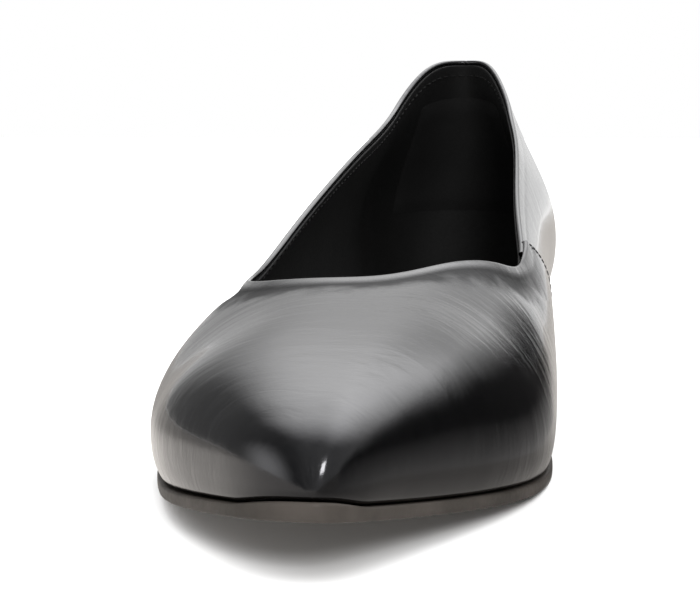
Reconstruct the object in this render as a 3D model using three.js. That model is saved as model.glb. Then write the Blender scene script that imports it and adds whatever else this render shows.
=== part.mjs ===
// Low pump for the right foot with a pointed toe and a low block heel, built over the shape of its last.
// Millimetres, +Z up. The toe points to -Y, and the foot's inner side lies at +X.
// Lengths run forward from the heel's back, heights up from the feather line, where upper and sole meet.
import * as THREE from 'three';
import { NURBSCurve } from 'three/addons/curves/NURBSCurve.js';

// Sizes of the last
const LENGTH = 262;
const BALL_WIDTH = 75;
const INSTEP_HEIGHT = 50;
const HEEL_RADIUS = 34;

// Sizes of the upper
const BACK_HEIGHT = 58.5;
const VAMP_LENGTH = 80;
const WALL = 1.8;
const RIM_ROUNDING = 0.6;
const OVERLAP_THICKNESS = 1.0;
const OVERLAP_EDGE = 0.8;

// Sizes of the sole and heel
const SOLE_THICKNESS = 2.2;
const SOLE_EDGE = 0.7;
const SOLE_EDGE_ROUNDING = 0.5;
const INSOLE_THICKNESS = 2;
const INSOLE_EDGE_SLOPE = 0.3;
const TOE_SPRING = 9.2;
const NOSE_LIFT = 0.8;
const HEEL_HEIGHT = 18.8;
const HEEL_LENGTH = 52;
const HEEL_TAPER = 1.2;
const TOP_PIECE_THICKNESS = 5;
const CLEARANCE = 0.3;

// Steps of the meshes
const HEEL_STEPS = 8;
const QUARTER_STEPS = 10;
const VAMP_STEPS = 28;
const WALL_STEPS = 12;

// Half sections of the last from the heel's axis (at 0) to the toe tip (at 1).
// inner, outer, bulges and lean are shares of BALL_WIDTH; widest and ridge are shares of INSTEP_HEIGHT;
// shoulderOut, shoulderUp and crown are shares of the half section itself.
const SECTION_COLUMNS = [
  'at', 'inner', 'outer', 'innerBulge', 'outerBulge', 'widest',
  'ridge', 'lean', 'shoulderOut', 'shoulderUp', 'crown',
];
const SECTIONS = [
  [0.000, 0.305, 0.328, 0.040, 0.040, 0.400, 1.550, -0.021, 0.565, 0.337, 0.25],
  [0.161, 0.295, 0.356, 0.040, 0.043, 0.420, 1.500, 0.006, 0.590, 0.347, 0.27],
  [0.311, 0.282, 0.430, 0.067, 0.040, 0.380, 1.300, 0.013, 0.600, 0.437, 0.30],
  [0.465, 0.346, 0.496, 0.045, 0.042, 0.355, 1.020, 0.020, 0.680, 0.491, 0.34],
  [0.619, 0.395, 0.553, 0.020, 0.034, 0.257, 0.735, 0.007, 0.752, 0.585, 0.36],
  [0.728, 0.363, 0.495, 0.028, 0.028, 0.212, 0.622, 0.005, 0.760, 0.585, 0.38],
  [0.838, 0.250, 0.392, 0.019, 0.030, 0.197, 0.505, 0.006, 0.827, 0.618, 0.42],
  [0.925, 0.137, 0.252, 0.013, 0.016, 0.142, 0.354, -0.007, 0.860, 0.635, 0.46],
  [0.974, 0.073, 0.145, 0.007, 0.008, 0.100, 0.230, 0.000, 0.880, 0.620, 0.50],
  [1.000, 0.000, 0.000, 0.000, 0.000, 0.000, 0.000, 0.000, 0.840, 0.620, 0.50],
];

// The heel's back curve from the feather line up: behind the axis as shares of HEEL_RADIUS, up of BACK_HEIGHT.
const BACK_COLUMNS = ['behind', 'up'];
const BACK_CURVE = [
  [0.882, 0.000],
  [0.965, 0.103],
  [1.035, 0.410],
  [0.903, 0.786],
  [0.733, 1.333],
  [0.000, 1.333],
];

// Topline height: at is a share of LENGTH, ofBack of BACK_HEIGHT and ofInstep of INSTEP_HEIGHT, added up.
const TOPLINE_COLUMNS = ['at', 'ofBack', 'ofInstep'];
const TOPLINE = [
  [0.000, 1.00, 0.000],
  [0.130, 0.52, 0.315],
  [0.267, 0.20, 0.534],
  [0.400, 0.00, 0.692],
  [0.477, 0.00, 0.650],
];
const THROAT_SQUARENESS = 0.91;
const THROAT_SKEW = 5.4;
const SEAM_FOOT = 0.393;

// Underside of the outsole: shares of LENGTH and HEEL_HEIGHT back to the flat of the ball, then the toe spring.
const SHANK_COLUMNS = ['at', 'up'];
const SHANK = [
  [0.000, 1.000],
  [0.130, 0.985],
  [0.230, 0.915],
  [0.345, 0.660],
  [0.460, 0.310],
  [0.530, 0.075],
  [0.590, 0.000],
];
const FLAT_END = 0.68;
const TOE_SPRING_CURVE = 1.55;
const NOSE_START = 0.965;

// Reads one column of a table.
const column = (names, rows, name) => rows.map((row) => row[names.indexOf(name)]);

// Cubic spline through points; the slope at the start is flat, and at the end flat or free.
function spline(xs, ys, flatEnd = false) {
  const last = xs.length - 1;
  const gap = xs.slice(1).map((x, i) => x - xs[i]);
  const slope = gap.map((width, i) => (ys[i + 1] - ys[i]) / width);
  const upper = [0.5];
  const bend = [(3 / gap[0]) * slope[0]];
  for (let i = 1; i < last; i += 1) {
    const pivot = 2 * (gap[i - 1] + gap[i]) - gap[i - 1] * upper[i - 1];
    upper[i] = gap[i] / pivot;
    bend[i] = (6 * (slope[i] - slope[i - 1]) - gap[i - 1] * bend[i - 1]) / pivot;
  }
  bend[last] = flatEnd
    ? (-6 * slope[last - 1] - gap[last - 1] * bend[last - 1]) / (gap[last - 1] * (2 - upper[last - 1]))
    : 0;
  for (let i = last - 1; i >= 0; i -= 1) {
    bend[i] -= upper[i] * bend[i + 1];
  }
  return (value) => {
    const x = THREE.MathUtils.clamp(value, xs[0], xs[last]);
    const found = xs.findIndex((mark) => mark > x);
    const i = (found < 0 ? last : found) - 1;
    const a = (xs[i + 1] - x) / gap[i];
    const b = 1 - a;
    const curve = (a ** 3 - a) * bend[i] + (b ** 3 - b) * bend[i + 1];
    return a * ys[i] + b * ys[i + 1] + (curve * gap[i] ** 2) / 6;
  };
}

// Heights above the floor of the outsole's underside and top, and of the feather line above it.
// The outsole thickens at the nose, where it draws up the upper's tip.
const shank = spline(
  column(SHANK_COLUMNS, SHANK, 'at').map((at) => at * LENGTH),
  column(SHANK_COLUMNS, SHANK, 'up').map((up) => up * HEEL_HEIGHT),
  true,
);
const underside = (length) => {
  const past = (length - FLAT_END * LENGTH) / (LENGTH - FLAT_END * LENGTH);
  return shank(length) + TOE_SPRING * Math.max(past, 0) ** TOE_SPRING_CURVE;
};
const soleTop = (length) => {
  const nose = THREE.MathUtils.smoothstep(length, NOSE_START * LENGTH, LENGTH);
  return underside(length) + SOLE_THICKNESS + NOSE_LIFT * nose;
};
const featherHeight = (length) => soleTop(length) + CLEARANCE;

// Place along the last: 0 at the heel's back, 1 at the heel's axis, 2 at the toe tip.
// Its steps shorten towards the tip, so that the nose closes round.
const FRONT_LENGTH = LENGTH - HEEL_RADIUS;
const lengthAt = (along) => LENGTH - (2 - along) ** 2 * FRONT_LENGTH;
const alongAt = (length) => 2 - Math.sqrt(Math.max(LENGTH - length, 0) / FRONT_LENGTH);

const sectionPlaces = column(SECTION_COLUMNS, SECTIONS, 'at').map((at) => 2 - Math.sqrt(1 - at));
const sectionCurves = Object.fromEntries(SECTION_COLUMNS.slice(1).map((name) => {
  const values = column(SECTION_COLUMNS, SECTIONS, name);
  const flatEnd = ['lean', 'shoulderOut', 'shoulderUp', 'crown'].includes(name);
  return [name, spline(sectionPlaces, values, flatEnd)];
}));

// Control points of a half section, from the feather line over the bulge and the shoulder to the ridge.
function halfSection(along, side) {
  const read = (name) => sectionCurves[name](Math.max(along, 1));
  const [footName, bulgeName] = side > 0 ? ['inner', 'innerBulge'] : ['outer', 'outerBulge'];
  const foot = read(footName) * BALL_WIDTH;
  const bulge = read(bulgeName) * BALL_WIDTH;
  const widest = read('widest') * INSTEP_HEIGHT;
  const ridge = read('ridge') * INSTEP_HEIGHT;
  const lean = read('lean') * BALL_WIDTH * side;
  const reach = foot + bulge - lean;
  const bulgeTop = widest * 1.15;
  return [
    [foot, 0],
    [foot + bulge, widest * 0.3],
    [foot + bulge * 1.3, bulgeTop],
    [lean + reach * read('shoulderOut'), bulgeTop + (ridge - bulgeTop) * read('shoulderUp')],
    [lean + reach * read('crown'), ridge],
    [lean, ridge],
  ];
}

const mirrored = (points) => points.slice(0, -1).reverse().map(([out, up]) => [-out, up]);
const backHalf = BACK_CURVE.map(([behind, up]) => [behind * HEEL_RADIUS, up * BACK_HEIGHT]);
const backArch = [...backHalf, ...mirrored(backHalf)];
const KNOTS = [0, 0, 0, 0, 1, 2, 3, 4, 5, 6, 7, 8, 8, 8, 8];

// A point of the last. Round the heel the section turns about the heel's axis and blends into the back curve.
function lastPoint(along, up, side) {
  const turn = (Math.min(along, 1) * Math.PI) / 2;
  const sideShare = Math.sin(turn);
  const backShare = Math.cos(turn);
  const arch = [...halfSection(along, side), ...mirrored(halfSection(along, -side))];
  const controls = arch.map(([out, height], i) => new THREE.Vector4(
    out * sideShare,
    backArch[i][0] * backShare,
    height * sideShare ** 2 + backArch[i][1] * backShare ** 2,
    1,
  ));
  const { x: out, y: behind, z: height } = new NURBSCurve(3, KNOTS, controls).getPoint(up / 2);
  const station = along < 1 ? HEEL_RADIUS : lengthAt(along);
  const seat = featherHeight(station - backArch[0][0] * backShare);
  return new THREE.Vector3(out * side, behind - station, height + seat);
}

// How far up the last, from 0 at the feather line to 1 at the ridge, a height above the feather line lies.
function upAtHeight(along, height, side) {
  let low = 0;
  let high = 1;
  const floor = lastPoint(along, 0, side).z;
  for (let i = 0; i < 14; i += 1) {
    const middle = (low + high) / 2;
    if (lastPoint(along, middle, side).z - floor < height) {
      low = middle;
    } else {
      high = middle;
    }
  }
  return (low + high) / 2;
}

const toplineHeight = spline(
  column(TOPLINE_COLUMNS, TOPLINE, 'at').map((at) => at * LENGTH),
  TOPLINE.map(([, ofBack, ofInstep]) => ofBack * BACK_HEIGHT + ofInstep * INSTEP_HEIGHT),
);
const THROAT_START = TOPLINE[TOPLINE.length - 1][0] * LENGTH;
const THROAT_END = LENGTH - VAMP_LENGTH;

// Half width of the last in plan, bulge included, by which a line of the wall crosses from foot to topline.
const planWidth = (along, side) => halfSection(along, side)[1][0];

// Lines of the wall, each from its foot on the feather line to its top on the topline.
function wallStation(foot, top, up, side, proud = 0) {
  return { foot, top, up, side, proud };
}

function heelStations(side) {
  return Array.from({ length: HEEL_STEPS }, (_, i) => {
    const along = i / HEEL_STEPS;
    const length = HEEL_RADIUS * (1 - Math.cos((along * Math.PI) / 2));
    return wallStation(along, along, upAtHeight(along, toplineHeight(length), side), side);
  });
}

function quarterStations(side, count) {
  return Array.from({ length: count }, (_, i) => {
    const share = i / QUARTER_STEPS;
    const foot = alongAt(THREE.MathUtils.lerp(HEEL_RADIUS, SEAM_FOOT * LENGTH, share));
    const topLength = THREE.MathUtils.lerp(HEEL_RADIUS, THROAT_START, share);
    const top = alongAt(topLength);
    return wallStation(foot, top, upAtHeight(top, toplineHeight(topLength), side), side);
  });
}

// Round the throat the topline is a quarter of a rounded oval, from the side seam to the middle of the vamp.
// The skew draws it forward on the outer side and back on the inner side.
function vampStations(side, start) {
  const corner = upAtHeight(alongAt(THROAT_START), toplineHeight(THROAT_START), side);
  const cornerShare = Math.cos((corner * Math.PI) / 2);
  const firstFoot = alongAt(SEAM_FOOT * LENGTH + start);
  return Array.from({ length: VAMP_STEPS }, (_, i) => {
    const share = i / VAMP_STEPS;
    const turn = (share * Math.PI) / 2;
    const foot = THREE.MathUtils.lerp(firstFoot, 2, share);
    const forward = Math.sin(turn) ** THROAT_SQUARENESS;
    const straight = THREE.MathUtils.lerp(THROAT_START + start, THROAT_END, forward);
    const top = alongAt(straight - side * THROAT_SKEW * Math.sin(2 * turn));
    const up = (Math.acos(cornerShare * Math.cos(turn)) * 2) / Math.PI;
    const proud = start > 0 ? Math.max(1 - share * 4, 0) : 0;
    return wallStation(foot, top, up, side, proud);
  });
}

// All lines round the upper: up the inner side from the heel's back to the toe, and back along the outer side.
// At the inner side seam the vamp lies on the quarter, so the wall steps out by its thickness.
const stations = [
  ...heelStations(1),
  ...quarterStations(1, QUARTER_STEPS + 1),
  ...vampStations(1, OVERLAP_EDGE),
  wallStation(2, alongAt(THROAT_END), 1, 1),
  ...vampStations(-1, 0).reverse(),
  ...quarterStations(-1, QUARTER_STEPS).reverse(),
  ...heelStations(-1).slice(1).reverse(),
];

// A point on a line of the wall, v from 0 at its foot to 1 at its top.
function wallPoint({ foot, top, up, side }, v) {
  if (foot < 1) {
    return lastPoint(foot, up * v, side);
  }
  const quarterTurn = Math.PI / 2;
  const share = (1 - Math.cos(up * v * quarterTurn)) / (1 - Math.cos(up * quarterTurn));
  const length = THREE.MathUtils.lerp(lengthAt(foot), lengthAt(top), share);
  const topWidth = planWidth(top, side) * Math.cos(up * quarterTurn);
  const width = THREE.MathUtils.lerp(planWidth(foot, side), topWidth, share);
  const along = alongAt(length);
  const widthShare = foot === 2 ? 0 : Math.min(width / planWidth(along, side), 1);
  return lastPoint(along, Math.acos(widthShare) / quarterTurn, side);
}

const wrap = (i, count) => (i + count) % count;

// The last's surface as a grid of points, and the direction out of it at each point.
const grid = stations.map((station) => (
  Array.from({ length: WALL_STEPS + 1 }, (_, k) => wallPoint(station, k / WALL_STEPS))
));

function outward(i, k) {
  const before = grid[wrap(i - 1, grid.length)][k];
  const after = grid[wrap(i + 1, grid.length)][k];
  const below = grid[i][Math.max(k - 1, 0)];
  const above = grid[i][Math.min(k + 1, WALL_STEPS)];
  return above.clone().sub(below).cross(after.clone().sub(before)).normalize();
}

// A ring round the upper at one height of the grid, moved out of the last by a distance.
function wallRing(k, distance) {
  return grid.map((line, i) => {
    const out = outward(i, k);
    if (k === 0) {
      out.setZ(0).normalize();
    }
    return line[k].clone().addScaledVector(out, distance(stations[i]));
  });
}

// A closed body from rings of equal count, each joined to the next. The rings run counterclockwise from above.
// A looped body joins its last ring to its first; any other is closed by strips from side to side.
function ringBody(rings, looped) {
  const count = rings[0].length;
  const positions = rings.flat().flatMap((point) => point.toArray());
  const faces = [];
  const quad = (a, b, c, d) => faces.push(a, b, c, a, c, d);
  const lastRing = looped ? rings.length : rings.length - 1;
  for (let j = 0; j < lastRing; j += 1) {
    const low = j * count;
    const high = wrap(j + 1, rings.length) * count;
    for (let i = 0; i < count; i += 1) {
      const next = wrap(i + 1, count);
      quad(low + i, low + next, high + next, high + i);
    }
  }
  if (!looped) {
    addCap(faces, count, 0, true);
    addCap(faces, count, (rings.length - 1) * count, false);
  }
  const geometry = new THREE.BufferGeometry();
  geometry.setAttribute('position', new THREE.Float32BufferAttribute(positions, 3));
  geometry.setIndex(faces);
  geometry.computeVertexNormals();
  return geometry;
}

// Strips across a ring, each between two neighbours on one side and their partners on the other.
function addCap(faces, count, start, facesDown) {
  const triangle = (a, b, c) => faces.push(...(facesDown ? [a, c, b] : [a, b, c]).map((n) => n + start));
  const half = Math.floor((count - 1) / 2);
  triangle(0, 1, count - 1);
  for (let i = 1; i < half; i += 1) {
    triangle(i, i + 1, count - i);
    triangle(i + 1, count - i - 1, count - i);
  }
  if (count % 2 === 0) {
    triangle(half, half + 1, half + 2);
  }
}

// The rings here run clockwise from above, from the heel's back along the inner side, so bodies turn them round.
const turned = (ring) => [ring[0], ...ring.slice(1).reverse()];
const body = (rings, looped = false) => ringBody(rings.map(turned), looped);

// Upper: outer face up from the foot, a rounded rim along the topline, and the inner face down again
function upperGeometry() {
  const ks = Array.from({ length: WALL_STEPS + 1 }, (_, k) => k);
  const outer = ks.map((k) => wallRing(k, ({ proud }) => proud * OVERLAP_THICKNESS));
  const inner = ks.map((k) => wallRing(k, () => -WALL)).reverse();
  const rim = outer[WALL_STEPS].map((point, i) => {
    const middle = point.clone().lerp(inner[0][i], 0.5);
    return middle.setZ(Math.max(point.z, inner[0][i].z) + RIM_ROUNDING);
  });
  return body([...outer, rim, ...inner], true);
}

// The feather line moved out in plan, without the seam's step.
const featherRing = (distance) => wallRing(0, () => distance);

// The same ring laid on a height that depends on the length.
const laid = (ring, height) => ring.map((point) => new THREE.Vector3(point.x, point.y, height(-point.y)));

function outsoleGeometry() {
  const edge = featherRing(SOLE_EDGE);
  const trimmed = featherRing(SOLE_EDGE - SOLE_EDGE_ROUNDING);
  return body([
    laid(trimmed, underside),
    laid(edge, (length) => underside(length) + SOLE_EDGE_ROUNDING),
    laid(edge, (length) => soleTop(length) - SOLE_EDGE_ROUNDING),
    laid(trimmed, soleTop),
  ]);
}

// The edge slopes inward as it rises, clear of the wall, which leans in over it at the toe.
function insoleGeometry() {
  const edge = featherRing(-WALL - CLEARANCE);
  const drawnIn = featherRing(-WALL - CLEARANCE - INSOLE_EDGE_SLOPE);
  return body([
    laid(edge, featherHeight),
    laid(drawnIn, (length) => featherHeight(length) + INSOLE_THICKNESS),
  ]);
}

// The outline of the heel: the feather line's back part, closed by the straight breast under the arch.
function heelRing(inset) {
  const ring = featherRing(-inset);
  const behind = (point) => -point.y < HEEL_LENGTH;
  const sides = [1, -1].map((side) => {
    const half = side > 0 ? ring : turned(ring);
    const end = half.findIndex((point) => !behind(point));
    const [from, to] = [half[end - 1], half[end]];
    const corner = from.clone().lerp(to, (HEEL_LENGTH + from.y) / (from.y - to.y));
    return [...half.slice(0, end), corner];
  });
  return [...sides[0], ...sides[1].slice(1).reverse()];
}

function heelBlockGeometry() {
  return body([
    laid(heelRing(HEEL_TAPER), () => TOP_PIECE_THICKNESS + CLEARANCE),
    laid(heelRing(0), (length) => underside(length) - CLEARANCE),
  ]);
}

function topPieceGeometry() {
  return body([
    laid(heelRing(HEEL_TAPER), () => 0),
    laid(heelRing(HEEL_TAPER), () => TOP_PIECE_THICKNESS),
  ]);
}

// Materials: black polished leather, a black sock, a dark brown sole edge, a black heel, a rubber top piece
const finish = (color, roughness) => new THREE.MeshStandardMaterial({ color, roughness, metalness: 0 });

const pieces = {
  upper: [upperGeometry(), finish(0x0d0d0f, 0.28)],
  insole: [insoleGeometry(), finish(0x17161a, 0.6)],
  outsole: [outsoleGeometry(), finish(0x2b2724, 0.45)],
  heel_block: [heelBlockGeometry(), finish(0x111113, 0.35)],
  heel_top_piece: [topPieceGeometry(), finish(0x1a1a1b, 0.8)],
};

const shoe = new THREE.Group();
for (const [name, [geometry, material]] of Object.entries(pieces)) {
  const mesh = new THREE.Mesh(geometry, material);
  mesh.name = name;
  shoe.add(mesh);
}

// The origin lies on the floor under the middle of the shoe's box
const box = new THREE.Box3().setFromObject(shoe);
const middle = box.getCenter(new THREE.Vector3());
shoe.position.set(-middle.x, -middle.y, -box.min.z);

export default shoe;
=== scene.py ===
# Looks of a low court shoe for the right foot: black polished leather, pointed toe, low block heel.
# Metres, +Z up. The toe points to -Y, and the foot's inner side lies at +X.
# Lengths run forward from the heel's back, heights up from the feather line, where upper and sole meet.
import math

import bpy
import numpy as np
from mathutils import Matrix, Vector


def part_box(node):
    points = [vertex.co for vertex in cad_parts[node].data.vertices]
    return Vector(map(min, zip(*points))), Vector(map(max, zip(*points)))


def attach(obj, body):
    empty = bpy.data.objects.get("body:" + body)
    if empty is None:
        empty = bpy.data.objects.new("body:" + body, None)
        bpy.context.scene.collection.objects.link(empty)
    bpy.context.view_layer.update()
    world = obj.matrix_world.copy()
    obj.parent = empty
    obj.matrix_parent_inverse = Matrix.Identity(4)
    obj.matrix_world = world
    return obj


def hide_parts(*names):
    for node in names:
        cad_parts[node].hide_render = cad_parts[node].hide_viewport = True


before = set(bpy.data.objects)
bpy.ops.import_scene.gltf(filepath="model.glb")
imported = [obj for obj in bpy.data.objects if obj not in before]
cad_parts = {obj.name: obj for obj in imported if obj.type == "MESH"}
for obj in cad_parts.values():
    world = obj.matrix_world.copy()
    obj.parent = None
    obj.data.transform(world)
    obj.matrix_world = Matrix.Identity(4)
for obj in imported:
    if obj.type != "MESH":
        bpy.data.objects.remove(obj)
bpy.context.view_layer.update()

MM = 0.001
TINY = 1e-12

# Sizes of the last
LENGTH = 262 * MM
BALL_WIDTH = 75 * MM
INSTEP_HEIGHT = 50 * MM
HEEL_RADIUS = 34 * MM

# Sizes of the upper
BACK_HEIGHT = 58.5 * MM
VAMP_LENGTH = 80 * MM
WALL = 1.8 * MM
OVERLAP_THICKNESS = 1.0 * MM

# Sizes of the sole and heel
SOLE_THICKNESS = 2.2 * MM
INSOLE_THICKNESS = 2 * MM
TOE_SPRING = 9.2 * MM
NOSE_LIFT = 0.8 * MM
HEEL_HEIGHT = 18.8 * MM
CLEARANCE = 0.3 * MM

# Steps of the meshes
RING_STEPS = {"heel": 22, "quarter": 44, "vamp": 110}
WALL_STEPS = 72

# Half sections of the last from the heel's axis (at 0) to the toe tip (at 1).
# inner, outer, bulges and lean are shares of BALL_WIDTH; widest and ridge are shares of INSTEP_HEIGHT;
# shoulder_out, shoulder_up and crown are shares of the half section itself.
SECTION_COLUMNS = (
    "at", "inner", "outer", "inner_bulge", "outer_bulge", "widest",
    "ridge", "lean", "shoulder_out", "shoulder_up", "crown",
)
SECTIONS = np.array([
    (0.000, 0.305, 0.328, 0.040, 0.040, 0.400, 1.550, -0.021, 0.565, 0.337, 0.25),
    (0.161, 0.295, 0.356, 0.040, 0.043, 0.420, 1.500, 0.006, 0.590, 0.347, 0.27),
    (0.311, 0.282, 0.430, 0.067, 0.040, 0.380, 1.300, 0.013, 0.600, 0.437, 0.30),
    (0.465, 0.346, 0.496, 0.045, 0.042, 0.355, 1.020, 0.020, 0.680, 0.491, 0.34),
    (0.619, 0.395, 0.553, 0.020, 0.034, 0.257, 0.735, 0.007, 0.752, 0.585, 0.36),
    (0.728, 0.363, 0.495, 0.028, 0.028, 0.212, 0.622, 0.005, 0.760, 0.585, 0.38),
    (0.838, 0.250, 0.392, 0.019, 0.030, 0.197, 0.505, 0.006, 0.827, 0.618, 0.42),
    (0.925, 0.137, 0.252, 0.013, 0.016, 0.142, 0.354, -0.007, 0.860, 0.635, 0.46),
    (0.974, 0.073, 0.145, 0.007, 0.008, 0.100, 0.230, 0.000, 0.880, 0.620, 0.50),
    (1.000, 0.000, 0.000, 0.000, 0.000, 0.000, 0.000, 0.000, 0.840, 0.620, 0.50),
])

# The heel's back curve from the feather line up: shares of HEEL_RADIUS behind the axis, of BACK_HEIGHT up.
BACK_CURVE = np.array([
    (0.882, 0.000),
    (0.965, 0.103),
    (1.035, 0.410),
    (0.903, 0.786),
    (0.733, 1.333),
    (0.000, 1.333),
])

# Topline height: at is a share of LENGTH, then shares of BACK_HEIGHT and of INSTEP_HEIGHT, added up.
TOPLINE = np.array([
    (0.000, 1.00, 0.000),
    (0.130, 0.52, 0.315),
    (0.267, 0.20, 0.534),
    (0.400, 0.00, 0.692),
    (0.477, 0.00, 0.650),
])
THROAT_SQUARENESS = 0.91
THROAT_SKEW = 5.4 * MM
SEAM_FOOT = 0.393

# Underside of the outsole from the back to the flat of the ball, as shares of LENGTH and HEEL_HEIGHT,
# then the toe spring.
SHANK = np.array([
    (0.000, 1.000),
    (0.130, 0.985),
    (0.230, 0.915),
    (0.345, 0.660),
    (0.460, 0.310),
    (0.530, 0.075),
    (0.590, 0.000),
])
FLAT_END = 0.68
TOE_SPRING_CURVE = 1.55
NOSE_START = 0.965


def spline(xs, ys, flat_end=False):
    """Cubic spline through points: flat at its start, and flat or free at its end."""
    count = len(xs)
    gap = np.diff(xs)
    slope = np.diff(ys) / gap
    matrix = np.zeros((count, count))
    right = np.zeros(count)
    for i in range(1, count - 1):
        matrix[i, i - 1:i + 2] = gap[i - 1], 2 * (gap[i - 1] + gap[i]), gap[i]
        right[i] = 6 * (slope[i] - slope[i - 1])
    matrix[0, :2] = 2 * gap[0], gap[0]
    right[0] = 6 * slope[0]
    matrix[-1, -2:] = (gap[-1], 2 * gap[-1]) if flat_end else (0, 1)
    right[-1] = -6 * slope[-1] if flat_end else 0
    bend = np.linalg.solve(matrix, right)

    def read(value):
        x = np.clip(value, xs[0], xs[-1])
        i = np.clip(np.searchsorted(xs, x, side="right") - 1, 0, count - 2)
        a = (xs[i + 1] - x) / gap[i]
        b = 1 - a
        curve = (a ** 3 - a) * bend[i] + (b ** 3 - b) * bend[i + 1]
        return a * ys[i] + b * ys[i + 1] + curve * gap[i] ** 2 / 6
    return read


def smooth(low, high, value):
    """0 below low, 1 above high, eased between."""
    share = np.clip((value - low) / (high - low), 0, 1)
    return share * share * (3 - 2 * share)


def blend(a, b, share):
    return a + (b - a) * share


# Heights above the floor of the outsole's underside and top, and of the feather line above it.
# The outsole thickens at the nose, where it draws up the upper's tip.
shank = spline(SHANK[:, 0] * LENGTH, SHANK[:, 1] * HEEL_HEIGHT, flat_end=True)


def underside(length):
    past = (length - FLAT_END * LENGTH) / (LENGTH - FLAT_END * LENGTH)
    return shank(length) + TOE_SPRING * np.maximum(past, 0) ** TOE_SPRING_CURVE


def sole_top(length):
    nose = smooth(NOSE_START * LENGTH, LENGTH, length)
    return underside(length) + SOLE_THICKNESS + NOSE_LIFT * nose


def feather_height(length):
    return sole_top(length) + CLEARANCE


# Place along the last: 0 at the heel's back, 1 at the heel's axis, 2 at the toe tip
FRONT_LENGTH = LENGTH - HEEL_RADIUS


def length_at(along):
    return LENGTH - (2 - along) ** 2 * FRONT_LENGTH


def along_at(length):
    return 2 - np.sqrt(np.maximum(LENGTH - length, 0) / FRONT_LENGTH)


def section_curves():
    places = 2 - np.sqrt(1 - SECTIONS[:, 0])
    flat = ("lean", "shoulder_out", "shoulder_up", "crown")
    return {
        name: spline(places, SECTIONS[:, i], name in flat)
        for i, name in enumerate(SECTION_COLUMNS) if i
    }


CURVES = section_curves()

# The bulge: how far out its widest control point stands, and how high its lowest and highest ones lie
BULGE_OUT = 1.3
BULGE_LOW = 0.3
BULGE_TOP = 1.15


def half_section(along, side):
    """Control points of half sections: out and up, from the feather line over the bulge to the ridge."""
    read = {name: curve(np.maximum(along, 1)) for name, curve in CURVES.items()}
    inner = side > 0
    foot = np.where(inner, read["inner"], read["outer"]) * BALL_WIDTH
    bulge = np.where(inner, read["inner_bulge"], read["outer_bulge"]) * BALL_WIDTH
    widest = read["widest"] * INSTEP_HEIGHT
    ridge = read["ridge"] * INSTEP_HEIGHT
    lean = read["lean"] * BALL_WIDTH * side
    reach = foot + bulge - lean
    bulge_top = widest * BULGE_TOP
    out = (
        foot,
        foot + bulge,
        foot + bulge * BULGE_OUT,
        lean + reach * read["shoulder_out"],
        lean + reach * read["crown"],
        lean,
    )
    up = (
        widest * 0,
        widest * BULGE_LOW,
        bulge_top,
        bulge_top + (ridge - bulge_top) * read["shoulder_up"],
        ridge,
        ridge,
    )
    return np.stack(out, -1), np.stack(up, -1)


KNOTS = np.array([0, 0, 0, 0, 1, 2, 3, 4, 5, 6, 7, 8, 8, 8, 8]) / 8


def arch_weights(t):
    """Weights of the eleven control points of a cubic arch at places t from 0 to 1."""
    t = np.clip(t, 0, 1 - 1e-9)[:, None]
    weights = ((KNOTS[:-1] <= t) & (t < KNOTS[1:])).astype(float)
    for degree in (1, 2, 3):
        low = KNOTS[:-degree]
        high = KNOTS[degree:]
        rise = np.divide(t - low, high - low, out=np.zeros((len(t), len(low))), where=high > low)
        weights = weights[:, :-1] * rise[:, :-1] + weights[:, 1:] * (1 - rise[:, 1:]) * (high > low)[1:]
    return weights


BACK_OUT = np.concatenate([BACK_CURVE[:, 0], -BACK_CURVE[4::-1, 0]]) * HEEL_RADIUS
BACK_UP = np.concatenate([BACK_CURVE[:, 1], BACK_CURVE[4::-1, 1]]) * BACK_HEIGHT


def last_point(along, up, side):
    """Points of the last. Round the heel the section turns about the heel's axis into the back curve."""
    turn = np.minimum(along, 1) * math.pi / 2
    side_share = np.sin(turn)[:, None]
    back_share = np.cos(turn)[:, None]
    out, height = half_section(along, side)
    far_out, far_height = half_section(along, -side)
    arch_out = np.concatenate([out, -far_out[:, 4::-1]], 1) * side_share
    arch_up = np.concatenate([height, far_height[:, 4::-1]], 1) * side_share ** 2
    arch_up = arch_up + BACK_UP * (1 - side_share ** 2)
    weights = arch_weights(up / 2)
    station = np.where(along < 1, HEEL_RADIUS, length_at(along))
    behind = (weights * (BACK_OUT * back_share)).sum(1)
    seat = feather_height(station - BACK_OUT[0] * back_share[:, 0])
    x = (weights * arch_out).sum(1) * side
    z = (weights * arch_up).sum(1) + seat
    return np.stack([x, behind - station, z], -1)


HALVINGS = 24


def up_at_height(along, height, side):
    """Share of the way up the last at which a height above the feather line lies."""
    low = np.zeros_like(along)
    high = np.ones_like(along)
    floor = last_point(along, low, side)[:, 2]
    for _ in range(HALVINGS):
        middle = (low + high) / 2
        below = last_point(along, middle, side)[:, 2] - floor < height
        low = np.where(below, middle, low)
        high = np.where(below, high, middle)
    return (low + high) / 2


topline_height = spline(
    TOPLINE[:, 0] * LENGTH,
    TOPLINE[:, 1] * BACK_HEIGHT + TOPLINE[:, 2] * INSTEP_HEIGHT,
)
THROAT_START = TOPLINE[-1, 0] * LENGTH
THROAT_END = LENGTH - VAMP_LENGTH


def plan_width(along, side):
    """Half width of the last at its bulge."""
    return half_section(along, side)[0][:, 1]


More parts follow.
